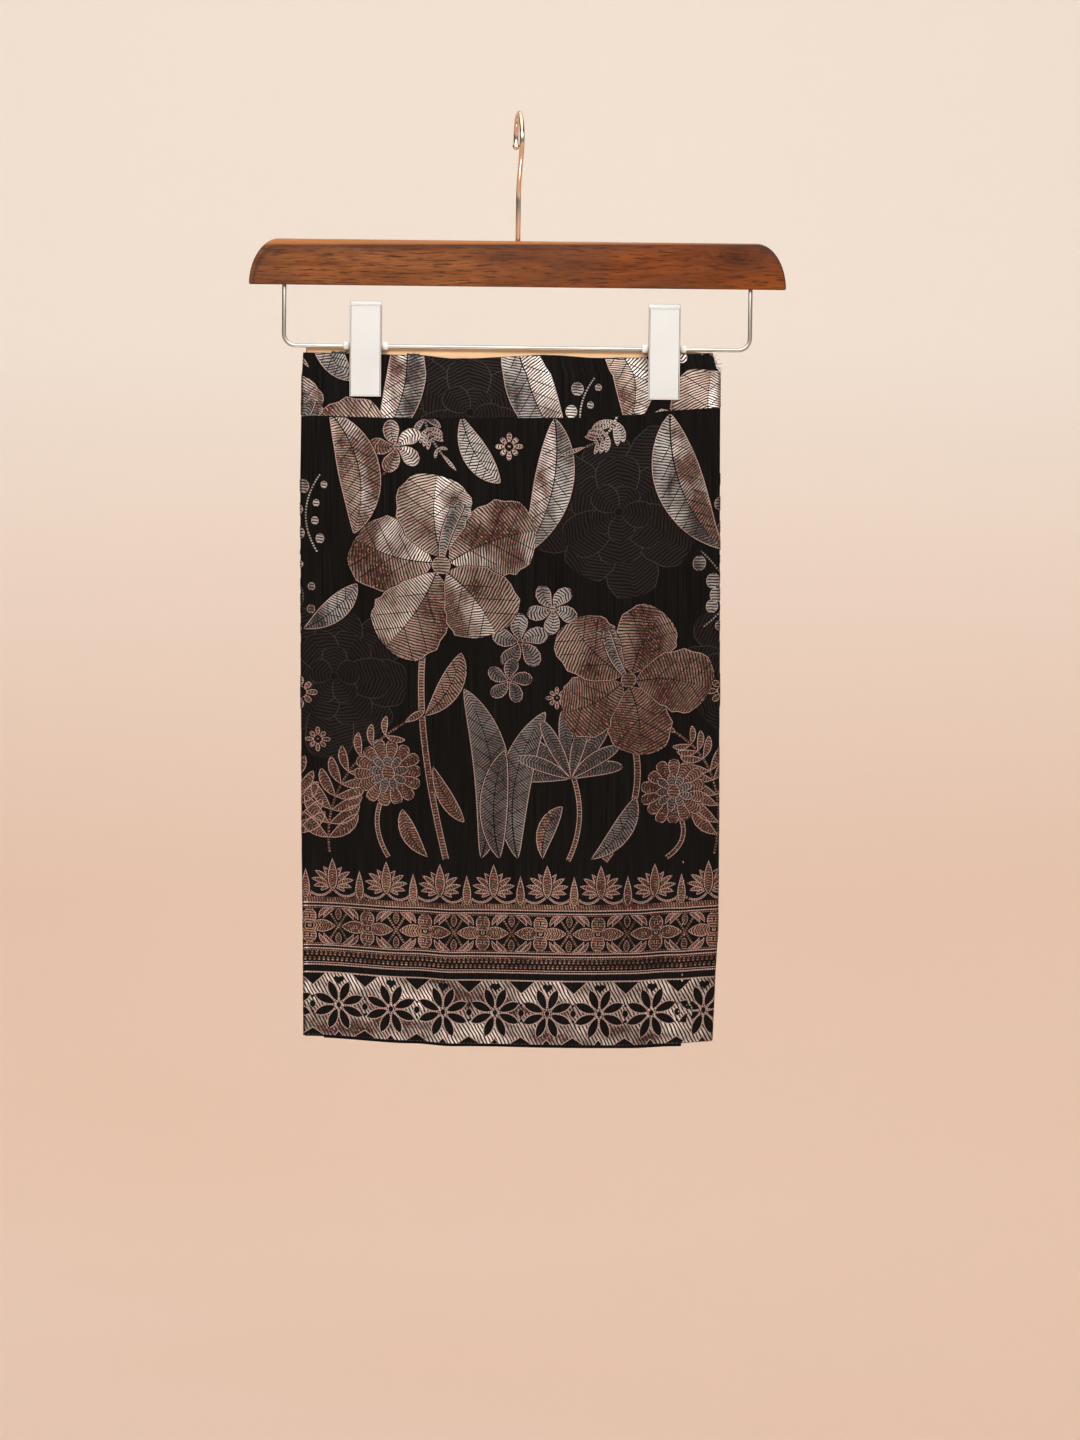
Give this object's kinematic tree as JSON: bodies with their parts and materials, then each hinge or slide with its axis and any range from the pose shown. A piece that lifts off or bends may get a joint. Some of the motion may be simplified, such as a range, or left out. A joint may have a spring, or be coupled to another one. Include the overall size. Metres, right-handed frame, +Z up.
{
  "type": "samping on a clip hanger",
  "caption": "Folded black brocade samping with a woven hem border and a waistband, gripped by the metal clips of a wooden trouser hanger with a hook.",
  "frame": {"origin": "the underside of the hook's top, where the rail carries it", "axes": "+X right seen from the front, +Y to the back, +Z up; the front of the cloth faces -Y"},
  "size_m": [0.38, 0.0392, 0.668],
  "materials": {
    "brocade": "black satin ground with copper and silver metallic weft figures",
    "facing": "plain tan cotton, matt",
    "wood": "walnut, satin lacquer",
    "hook_wire": "pale rose-gold plating, polished",
    "steel_wire": "polished",
    "clip_plate": "bright satin plating",
    "spring": "spring steel",
    "bush": "milky clear sleeve"
  },
  "bodies": {
    "root": {"hanger_bar": "wood", "hook": "hook_wire", "wire_bar": "steel_wire", "clip_left_front": "clip_plate", "clip_left_back": "clip_plate", "clip_right_front": "clip_plate", "clip_right_back": "clip_plate", "spring_left": "spring", "spring_right": "spring", "bush_left_a": "bush", "bush_left_b": "bush", "bush_right_a": "bush", "bush_right_b": "bush", "body_outer": "brocade", "body_inner": "brocade", "waistband_outer": "brocade", "waistband_inner": "brocade", "waistband_facing": "facing"}
  },
  "joints": []
}
